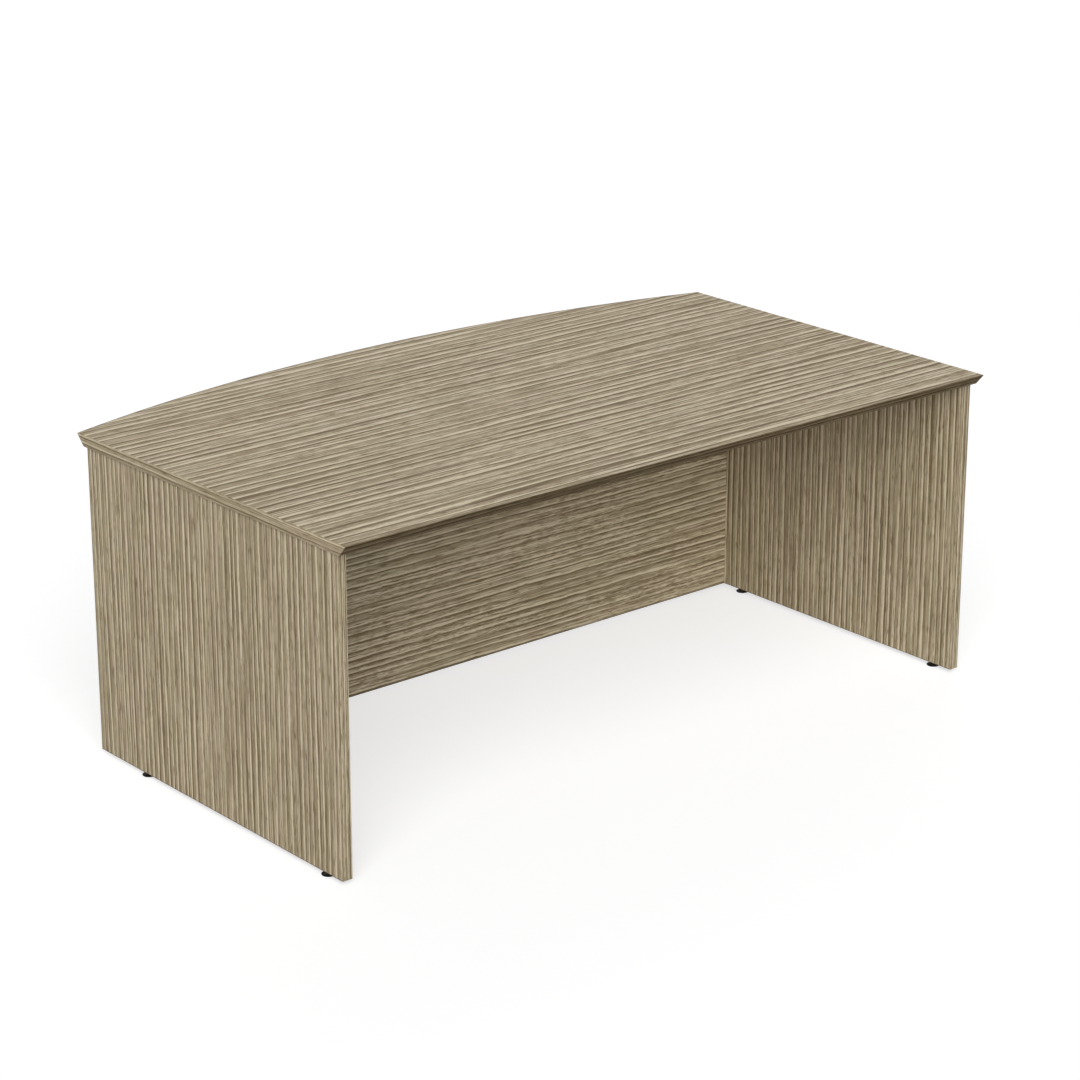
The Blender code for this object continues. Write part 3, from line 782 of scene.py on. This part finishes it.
def placed(bm, middle, along_x, along_z):
    """A copy whose X and Z axes lie along the given directions, at a place in the desk."""
    along_x, along_z = Vector(along_x), Vector(along_z)
    turn = Matrix((along_x, along_z.cross(along_x), along_z)).transposed().to_4x4()
    copy = bm.copy()
    bmesh.ops.transform(copy, matrix=Matrix.Translation(middle) @ turn, verts=copy.verts)
    return copy


def carved(bm, *cutters):
    """Takes the cutters out of a closed shape, and gives the result back as a bmesh."""
    target, *tools = [as_object(shape) for shape in (bm, *cutters)]
    for tool in tools:
        boolean = target.modifiers.new("cut", "BOOLEAN")
        boolean.operation, boolean.solver, boolean.object = "DIFFERENCE", "EXACT", tool
    bpy.context.view_layer.update()
    shaped = target.evaluated_get(bpy.context.evaluated_depsgraph_get())
    result = begin(rub=False)
    result.from_mesh(shaped.to_mesh())
    shaped.to_mesh_clear()
    for made in (target, *tools):
        mesh = made.data
        bpy.data.objects.remove(made)
        bpy.data.meshes.remove(mesh)
    return result


# %% [markdown]
# ## Real threads
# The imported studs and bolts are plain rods. Here they get a helical thread. The profile of one
# pitch is spun through many turns, and each step also rises by a share of the pitch, so the end
# of one turn meets the start of the next. Two flat cuts trim the thread to length. One end is
# closed, and new rings are grown from the other rim, so that the plain shank and head share their
# edges with the thread.

# %% Helpers for threads
THREAD_STEPS = 32


def rim_at(bm, level):
    return [edge for edge in bm.edges
            if edge.is_boundary and all(abs(vert.co.z - level) < TOUCH / 2 for vert in edge.verts)]


def grow(bm, rim, rings):
    """Extrudes a rim through rings of (radius, height) and closes the last one."""
    for radius, height in rings:
        made = bmesh.ops.extrude_edge_only(bm, edges=rim)["geom"]
        fresh = {item for item in made if isinstance(item, bmesh.types.BMVert)}
        for vert in fresh:
            set_radius(vert, radius)
            vert.co.z = height
        rim = [item for item in made if isinstance(item, bmesh.types.BMEdge)
               and fresh.issuperset(item.verts)]
    bmesh.ops.holes_fill(bm, edges=rim, sides=0)


def threaded(crest, root, pitch, low, high, tip, rings):
    """A thread about Z from low to high, with a cone of length tip on top and rings below."""
    bm = begin()
    start = low - 1.5 * pitch
    turns = math.ceil((high - low) / pitch) + 3
    shares = [(crest, 0), (crest, 0.12), (root, 0.42), (root, 0.68), (crest, 1)]
    points = [bm.verts.new((radius, 0, start + share * pitch)) for radius, share in shares]
    edges = [bm.edges.new(pair) for pair in zip(points, points[1:])]
    bmesh.ops.spin(bm, geom=points + edges, cent=(0, 0, 0), axis=Z, angle=2 * math.pi * turns,
                   steps=THREAD_STEPS * turns, dvec=Z * pitch / THREAD_STEPS)
    bmesh.ops.remove_doubles(bm, verts=bm.verts, dist=DOUBLES)
    for level, outwards in ((low, -Z), (high, Z)):
        bmesh.ops.bisect_plane(bm, geom=everything(bm), plane_co=Z * level, plane_no=outwards,
                               clear_outer=True, dist=DOUBLES)
    bmesh.ops.remove_doubles(bm, verts=bm.verts, dist=DOUBLES)
    mark_rubbed(bm, lambda vert: radius_of(vert) > crest - 0.1 * (crest - root))
    for vert in bm.verts:
        widest = crest - (vert.co.z - high + tip)
        if radius_of(vert) > widest:
            set_radius(vert, widest)
    bmesh.ops.holes_fill(bm, edges=rim_at(bm, high), sides=0)
    grow(bm, rim_at(bm, low), rings)
    bmesh.ops.recalc_face_normals(bm, faces=bm.faces)
    return bm


# %% [markdown]
# ## Levelling feet
# Each end panel stands on two feet. A nylon pad with a flared foot holds a steel stud, and the
# stud turns in a threaded insert in the panel's edge. One full turn lifts the desk by one pitch,
# so the thread drawn here has the pitch that the joint follows. The pad's rim is scalloped, so
# fingers can hold it while the stud turns, and its sole is hollowed so that it sits on its rim.

# %% The pad
pad_size = box_size("pad_left_front")
PAD_RADIUS, PAD_TOP = pad_size.x / 2, pad_size.z
SOLE_ROUND, SOLE_HOLLOW, RIM_TOP = 1.2 * MM, 0.5 * MM, 2.0 * MM
NECK_RADIUS, NECK_LOW, LIP = 8.2 * MM, PAD_TOP - 1.8 * MM, 0.3 * MM
FLARE_STEPS, SCALLOPS, SCALLOP_DEPTH = 12, 30, 0.45 * MM
sole_edge = PAD_RADIUS - SOLE_ROUND
pad_profile = [(0, SOLE_HOLLOW), (sole_edge - 2.7 * MM, SOLE_HOLLOW), (sole_edge - 2 * MM, 0),
               (sole_edge, 0)]
pad_profile += arc((sole_edge, SOLE_ROUND), SOLE_ROUND, -75, 0, 5) + [(PAD_RADIUS, RIM_TOP)]
for step in range(1, FLARE_STEPS + 1):
    turn = math.pi / 2 * step / FLARE_STEPS
    pad_profile.append((PAD_RADIUS - (PAD_RADIUS - NECK_RADIUS) * math.sin(turn),
                        RIM_TOP + (NECK_LOW - RIM_TOP) * (1 - math.cos(turn))))
pad_profile += [(NECK_RADIUS, PAD_TOP - LIP), (NECK_RADIUS - LIP, PAD_TOP), (4.6 * MM, PAD_TOP),
                (4.3 * MM, PAD_TOP - LIP)] + mm((4.3, 5), (6.5, 5), (6.5, 2.2), (0, 2.2))
pad = spun(pad_profile, SCALLOPS * 4)
for vert in pad.verts:
    if radius_of(vert) > PAD_RADIUS - 1.1 * MM and 0.2 * MM < vert.co.z < 4.2 * MM:
        swing = 0.5 - 0.5 * math.cos(SCALLOPS * math.atan2(vert.co.y, vert.co.x))
        set_radius(vert, radius_of(vert) - SCALLOP_DEPTH * swing)
mark_rubbed(pad, lambda vert: radius_of(vert) > PAD_RADIUS - 0.3 * MM)
print("faces in one pad:", len(pad.faces))

# %% [markdown]
# ## The stud and its insert
# The stud is an M8 screw with a flange near its lower end, which the pad holds. Its tip has the
# small hexagonal socket by which such studs are turned from above where a board is drilled
# through. The insert is a sleeve with a coarse thread outside that bites into the particle board,
# and a slot for driving it in. Cutting the socket, the bore and the slot out of closed shapes
# keeps every piece watertight.

# %% The stud and its insert
STUD_CREST, STUD_ROOT, STUD_PITCH = 4.0 * MM, 3.3 * MM, 1.25 * MM
FLANGE_TOP, SOCKET_RADIUS, SOCKET_DEPTH = 4.7 * MM, 2.3 * MM, 4 * MM
PAST = 1 * MM
stud_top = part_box("stud_left_front")[1].z
stud = threaded(STUD_CREST, STUD_ROOT, STUD_PITCH, FLANGE_TOP, stud_top, 0.9 * MM,
                mm((5.9, 4.7), (6.2, 4.4), (6.2, 2.8), (5.9, 2.5)))
stud = carved(stud, plug(SOCKET_RADIUS, stud_top - SOCKET_DEPTH, stud_top + PAST, 6))

INSERT_CREST, INSERT_ROOT, INSERT_PITCH = 6.5 * MM, 5.6 * MM, 2.5 * MM
COLLAR_TOP, BORE_RADIUS = 2.0 * MM, 4.3 * MM
insert_length = box_size("insert_left_front").z
insert = threaded(INSERT_CREST, INSERT_ROOT, INSERT_PITCH, COLLAR_TOP, insert_length, 0.8 * MM,
                  mm((6.3, 1.8), (6.3, 0.3), (6.0, 0)))
bore = spun(mm((0, -1), (4.9, -1), (4.9, 0)) + [(BORE_RADIUS, 0.6 * MM),
            (BORE_RADIUS, insert_length + PAST), (0, insert_length + PAST)])
slot = block((-8 * MM, -0.7 * MM, -PAST), (8 * MM, 0.7 * MM, 1.4 * MM))
insert = carved(insert, bore, slot)

for side in ("left", "right"):
    for end in ("front", "rear"):
        foot = f"{side}_{end}"
        x, y, _ = box_middle("stud_" + foot)
        panel_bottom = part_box("insert_" + foot)[0].z
        finish_piece("foot_pad_" + foot, placed(pad, (x, y, 0), X, Z), nylon_finish,
                     "foot_" + foot, "pad_" + foot)
        finish_piece("foot_stud_" + foot, placed(stud, (x, y, 0), X, Z), steel_finish,
                     "screw_" + foot, "stud_" + foot)
        finish_piece("foot_insert_" + foot, placed(insert, (x, y, panel_bottom), X, Z),
                     steel_finish, "desk", "insert_" + foot)
print("feet made, faces in one stud:", len(stud.faces))

# %% [markdown]
# ## Cam fittings
# A cam fitting pulls two boards together. The bolt is screwed into the face of one board, its head
# reaches into a zinc cam in the other, and turning the cam draws the head in. A cap hides the cam.
# The cam has a hexagonal recess for the key, an arrow that points to the bolt, a mouth where the
# head enters and a slot where it slides. The bolt's axis lies at a fixed height above the cam's
# foot. Cutters reach a little past the surface, so that no two faces lie in one plane.

# %% Cam, bolt and cap shapes
AXIS_ABOVE_FOOT = 4.5 * MM


def cam_shape(depth):
    """A cam that sinks to depth. Its bolt lies along X, half-way through the board."""
    axis = AXIS_ABOVE_FOOT - depth
    body = spun([(0, -depth), (7.1 * MM, -depth), (7.5 * MM, 0.4 * MM - depth)]
                + mm((7.5, -0.9), *arc((7.1, -0.9), 0.4, 20, 90, 4), (0, -0.5)))
    mark_rubbed(body, lambda vert: vert.co.z > -0.8 * MM and radius_of(vert) > 7.1 * MM)
    mouth = placed(plug(4.0 * MM, -3.3 * MM, 9 * MM), (0, 0, axis), Z, X)
    slide = begin()
    slide.faces.new([slide.verts.new((radius, 0, axis + height)) for radius, height in
                     mm((5.2, -2.4), (9, -2.4), (9, 2.4), (5.2, 2.4))])
    bmesh.ops.spin(slide, geom=everything(slide), cent=(0, 0, 0), axis=Z,
                   angle=math.radians(150), steps=24)
    bmesh.ops.recalc_face_normals(slide, faces=slide.faces)
    key = plug(2.6 * MM, -3.5 * MM, PAST, 6)
    arrow = plug(1.2 * MM, -0.8 * MM, PAST, 3)
    bmesh.ops.translate(arrow, vec=(4.9 * MM, 0, 0), verts=arrow.verts)
    return carved(body, mouth, slide, key, arrow)


BOLT_CREST, BOLT_ROOT, BOLT_PITCH = 2.5 * MM, 1.75 * MM, 1.8 * MM
THREAD_LOW, BOLT_TIP = 33.7 * MM, 45.3 * MM
collar = [(3.4, 33.7), (3.4, 31.4), (3.1, 31.1), (3.1, 30.4), (3.4, 30.1), (3.4, 27.8),
          (3.1, 27.5), (3.1, 26.8), (3.4, 26.5), (3.4, 8.1), (3.0, 7.6), (2.2, 7.5), (2.2, 2.5)]
head = arc((0, 0), 3.2, 45, -45, 10)
bolt = threaded(BOLT_CREST, BOLT_ROOT, BOLT_PITCH, THREAD_LOW, BOLT_TIP, 0.7 * MM,
                mm(*collar, *head))
mark_rubbed(bolt, lambda vert: radius_of(vert) > 3.3 * MM or vert.co.z < 3 * MM)
bolt = carved(bolt, *[block((-wide, -deep, -4 * MM), (wide, deep, -1.5 * MM))
                      for wide, deep in mm((1.7, 0.35), (0.35, 1.7))])
print("faces in one bolt:", len(bolt.faces))

cap = spun(mm((0, -2.2), (1.4, -2.2), (1.8, -1.8), (1.5, -1.2), (1.8, -0.8), (1.5, -0.2),
              (1.5, 0.3), (8.5, 0.3), (8.8, 0.5), *arc((8.1, 0.8), 0.7, 0, 82, 6),
              (4.5, 1.5), (1.5, 1.5), (1.3, 1.4), (0, 1.38)))
mark_rubbed(cap, lambda vert: radius_of(vert) > 8.3 * MM and vert.co.z > 0.6 * MM)

# %% [markdown]
# ## Eight fittings in their places
# Six caps look out of the modesty panel's visitor face and one out of each end panel's inner face.
# Each has a direction for its cap and one for its bolt. The depth of each cam comes from its
# packed box, since a thicker board takes a deeper cam.

# %% Place the cam fittings
CAP_SEAT = 0.5 * MM
end_fittings = {f"modesty_{side}_{level}": (Y, X if side == "right" else -X)
                for side in ("left", "right") for level in ("lower", "upper")}
top_fittings = {"modesty_top_left": (Y, Z), "modesty_top_right": (Y, Z),
                "top_left": (X, Z), "top_right": (-X, Z)}
for fitting, (out, towards) in {**end_fittings, **top_fittings}.items():
    low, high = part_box("cam_" + fitting)
    depth = abs((high - low).dot(out)) + CAP_SEAT
    on_face = (low + high) / 2 + out * (depth + CAP_SEAT) / 2
    on_axis = on_face - out * (depth - AXIS_ABOVE_FOOT)
    finish_piece("cam_fitting_" + fitting, placed(cam_shape(depth), on_face, towards, out),
                 zinc_finish, "desk", "cam_" + fitting)
    finish_piece("cam_bolt_" + fitting, placed(bolt, on_axis, out, towards), steel_finish,
                 "desk", "bolt_" + fitting)
    finish_piece("cam_cap_" + fitting, placed(cap, on_face, towards, out), cap_finish,
                 "desk", "cap_" + fitting)

# %% [markdown]
# ## Dowels
# The flutes let glue and air escape when a dowel is pressed in. They are made by drawing every
# second row of points along the side a little towards the axis.

# %% Fluted dowels
FLUTES, FLUTE_DEPTH, DOWEL_RADIUS = 24, 0.3 * MM, 4.0 * MM
half_dowel = max(box_size("dowel_top_left_1")) / 2
dowel_end = mm((0, 0), (2.8, 0), (3.1, 0.15)) + [(DOWEL_RADIUS, 1.2 * MM)]
dowel = spun([(radius, inset - half_dowel) for radius, inset in dowel_end]
             + [(radius, half_dowel - inset) for radius, inset in dowel_end[::-1]], FLUTES * 2)
for vert in dowel.verts:
    row = round(math.atan2(vert.co.y, vert.co.x) / (math.pi / FLUTES))
    if row % 2 and radius_of(vert) > DOWEL_RADIUS - 0.1 * MM:
        set_radius(vert, DOWEL_RADIUS - FLUTE_DEPTH)
mark_rubbed(dowel, lambda vert: radius_of(vert) > DOWEL_RADIUS - 0.1 * MM)
upright_dowels = [f"top_{side}_{number}" for side in ("left", "right") for number in (1, 2, 3)]
level_dowels = ["modesty_left_1", "modesty_right_1"]
for name in upright_dowels + level_dowels:
    upright = name in upright_dowels
    shape = placed(dowel, box_middle("dowel_" + name), *((X, Z) if upright else (Y, X)))
    finish_piece("glued_dowel_" + name, shape, beech_upright if upright else beech_level,
                 "desk", "dowel_" + name, smooth_past=25)
print("dowels made:", len(upright_dowels + level_dowels))

# %% [markdown]
# ## Floor
# The photograph is a cut-out on white. The floor here is pale and matt, so the desk still has a
# soft shadow to stand on. A little emission that only the camera sees brings it near white.

# %% Floor
FLOOR_REACH, FLOOR_DROP = 40, 0.2 * MM
FLOOR_GREY, FLOOR_LIFT = 0.5, 0.62
floor_shape = bmesh.new()
bmesh.ops.create_grid(floor_shape, x_segments=1, y_segments=1, size=FLOOR_REACH)
floor = as_object(floor_shape, "floor")
floor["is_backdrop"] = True
floor.location.z = -FLOOR_DROP
floor_material = bpy.data.materials.new("pale_floor")
floor_material.use_nodes = True
ft = Tree(floor_material.node_tree)
is_seen = ft.add("ShaderNodeLightPath", output="Is Camera Ray")
ft.feed(floor_material.node_tree.nodes["Principled BSDF"],
        {"Base Color": (FLOOR_GREY, FLOOR_GREY, FLOOR_GREY, 1.0), "Roughness": 1.0,
         "Specular IOR Level": 0.0, "Emission Color": (1, 1, 1, 1),
         "Emission Strength": ft.math("MULTIPLY", is_seen, FLOOR_LIFT)})
floor.data.materials.append(floor_material)

# %% [markdown]
# ## World and lamps
# The world is dim as a light but white to the camera and in reflections. Four wide suns do the
# lighting, since a sun has no distance and no edge that could show. Their levels were fitted to
# the tones that the photograph shows on the top, the left panel and the modesty panel. The suns are
# kept out of reflections, because from some sides they would glare off the worktop.

# %% World and lamps
world = bpy.data.worlds.new("studio")
bpy.context.scene.world = world
world.use_nodes = True
wt = Tree(world.node_tree)
rays = wt.add("ShaderNodeLightPath").node.outputs
seen = wt.math("MAXIMUM", rays["Is Camera Ray"], rays["Is Glossy Ray"])
seen = wt.math("MAXIMUM", seen, rays["Is Transmission Ray"])
SKY_LEVEL = 0.15
wt.feed(world.node_tree.nodes["Background"],
        {"Color": (1, 1, 1, 1), "Strength": wt.mix_values(seen, SKY_LEVEL, 1.0)})


def soft_sun(name, level, comes_from, spread_deg):
    sun = bpy.data.lights.new(name, "SUN")
    sun.energy = level * math.pi
    sun.angle = math.radians(spread_deg)
    lamp = new_object(name, sun)
    lamp.rotation_euler = Vector(comes_from).to_track_quat("Z", "Y").to_euler()
    lamp.visible_glossy = False


soft_sun("key", 0.70, (-0.45, -0.60, 0.66), 50)
soft_sun("window", 0.38, (-0.69, -0.69, 0.22), 45)
soft_sun("front_fill", 0.17, (-0.37, -0.90, 0.22), 45)
soft_sun("back_fill", 0.27, (0.62, 0.72, 0.30), 60)

# %% [markdown]
# ## Camera
# The camera stands to the user's left, about 2.7 m up and 7 m away, and looks down on the desk.
# Its place, turn and focal length were solved from the corners of the desk in the photograph.

# %% Camera
CAMERA_FOCAL_PX = 3150
FRAME_PX = 1080
SENSOR_MM = 36
CAMERA_PLACE = (-4.273, -5.115, 2.745)
CAMERA_YAW_DEG = 40.16
CAMERA_PITCH_DEG = 19.43
camera_data = bpy.data.cameras.new("photo_view")
camera_data.sensor_width = SENSOR_MM
camera_data.lens = SENSOR_MM * CAMERA_FOCAL_PX / FRAME_PX
camera_data.clip_end = 200
camera = new_object("photo_view", camera_data)
bpy.context.scene.camera = camera
camera.location = CAMERA_PLACE
yaw, pitch = math.radians(CAMERA_YAW_DEG), math.radians(CAMERA_PITCH_DEG)
sight = Vector((math.sin(yaw) * math.cos(pitch), math.cos(yaw) * math.cos(pitch),
                -math.sin(pitch)))
camera.rotation_euler = sight.to_track_quat("-Z", "Y").to_euler()
bpy.context.scene.view_settings.view_transform = "Standard"

# %% [markdown]
# ## Sizes and finish
# The box of the finished desk is measured over every piece that renders, with the floor left out.

# %% Measure the finished desk
low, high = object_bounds()
